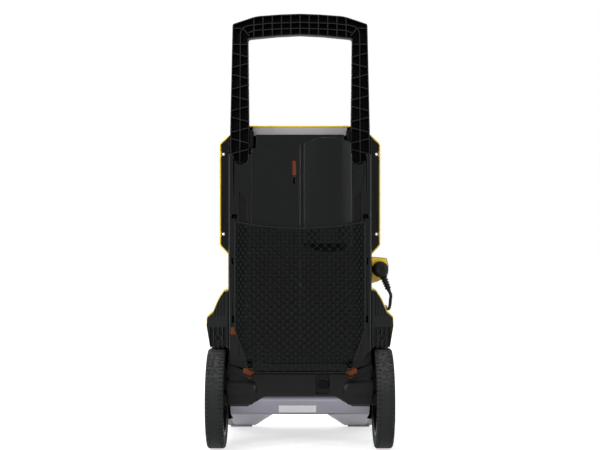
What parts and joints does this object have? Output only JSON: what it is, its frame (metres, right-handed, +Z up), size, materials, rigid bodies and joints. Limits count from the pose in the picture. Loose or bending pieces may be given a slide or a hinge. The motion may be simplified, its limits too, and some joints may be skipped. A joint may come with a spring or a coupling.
{
  "type": "pressure washer",
  "caption": "Upright electric pressure washer on two wheels, with a pull-out ribbed handle, a storage net on its back, a parked mains plug and a coiled mains cord.",
  "frame": {"origin": "middle of the footprint of the machine without its cord, on the floor", "axes": "+Z up, -Y the front with the controls, +Y the rear with the handle and the wheels, +X the machine side on the left of a viewer who stands behind it"},
  "size_m": [0.4378, 0.5447, 0.9423],
  "materials": {
    "black_gloss": "glossy black moulding",
    "black_ribbed": "satin black moulding",
    "yellow_gloss": "glossy yellow moulding",
    "light_grey": "satin light grey",
    "orange": "satin orange",
    "base_grey": "satin dark moulding",
    "wheel_plastic": "glossy black spokes",
    "tyre": "matt tread",
    "soft_rubber": "matt rubber",
    "cord_jacket": "soft sheen",
    "net_cord": "knotted elastic net",
    "screw_steel": "bright zinc",
    "dark_steel": "machined",
    "brass": "turned",
    "cast_aluminium": "cast",
    "plate": "bare matt label"
  },
  "bodies": {
    "machine": {"front_cover": "yellow_gloss", "plug_bracket": "yellow_gloss", "top_strip": "light_grey", "rear_shell": "black_gloss", "fender_left": "black_gloss", "fender_right": "black_gloss", "control_panel": "black_gloss", "keyhole_insert": "orange", "net_hook_left": "orange", "net_hook_right": "orange", "net_clip": "orange", "flange_screw_left_1": "screw_steel", "flange_screw_left_2": "screw_steel", "flange_screw_right_1": "screw_steel", "flange_screw_right_2": "screw_steel", "axle": "screw_steel", "handle_guide_left": "black_ribbed", "handle_guide_right": "black_ribbed", "main_switch": "black_ribbed", "pressure_switch": "black_ribbed", "base_tray": "base_grey", "front_foot_left": "soft_rubber", "front_foot_right": "soft_rubber", "inlet_hose": "soft_rubber", "cord_gland": "soft_rubber", "mains_plug": "soft_rubber", "cord_at_plug": "cord_jacket", "cord_coil": "cord_jacket", "cord_at_machine": "cord_jacket", "storage_net": "net_cord", "rating_plate": "plate", "inlet_coupling": "brass", "pressure_outlet": "brass", "high_pressure_pipe": "brass", "motor_housing": "cast_aluminium", "pump_body": "cast_aluminium", "run_capacitor": "cast_aluminium", "motor_stator": "dark_steel", "motor_bearing_upper": "dark_steel", "motor_bearing_lower": "dark_steel", "piston_1": "dark_steel", "piston_2": "dark_steel", "piston_3": "dark_steel", "pump_head": "dark_steel"},
    "handle": {"telescopic_handle": "black_ribbed"},
    "latch_left": {"latch_button_left": "black_ribbed"},
    "latch_right": {"latch_button_right": "black_ribbed"},
    "wheel_left": {"tyre_left": "tyre", "wheel_rim_left": "wheel_plastic", "hub_cap_left": "yellow_gloss"},
    "wheel_right": {"tyre_right": "tyre", "wheel_rim_right": "wheel_plastic", "hub_cap_right": "yellow_gloss"},
    "knob": {"switch_knob": "black_ribbed"},
    "rotor": {"motor_rotor": "dark_steel", "cooling_fan": "black_ribbed", "wobble_plate": "dark_steel"},
    "inlet_cap": {"inlet_cap": "black_ribbed"}
  },
  "joints": [
    {"name": "handle_slide", "type": "slide", "parent": "machine", "child": "handle", "axis": [0, 0, 1], "range_m": [-0.17, 0]},
    {"name": "latch_left_press", "type": "slide", "parent": "machine", "child": "latch_left", "axis": [-1, 0, 0], "range_m": [0, 0.004], "stiffness_N_per_m": 400},
    {"name": "latch_right_press", "type": "slide", "parent": "machine", "child": "latch_right", "axis": [1, 0, 0], "range_m": [0, 0.004], "stiffness_N_per_m": 400},
    {"name": "wheel_left_roll", "type": "hinge", "parent": "machine", "child": "wheel_left", "pos_m": [0.175, 0.087, 0.108], "axis": [1, 0, 0], "continuous": true},
    {"name": "wheel_right_roll", "type": "hinge", "parent": "machine", "child": "wheel_right", "pos_m": [-0.175, 0.087, 0.108], "axis": [1, 0, 0], "continuous": true},
    {"name": "knob_turn", "type": "hinge", "parent": "machine", "child": "knob", "pos_m": [0, -0.17, 0.5], "axis": [0, -1, 0], "range_deg": [-90, 0]},
    {"name": "rotor_spin", "type": "hinge", "parent": "machine", "child": "rotor", "pos_m": [-0.0605, 0.0803, 0.5], "axis": [0, 0, 1], "continuous": true},
    {"name": "inlet_cap_pull", "type": "slide", "parent": "machine", "child": "inlet_cap", "axis": [0, 1, 0], "range_m": [0, 0.02]}
  ]
}
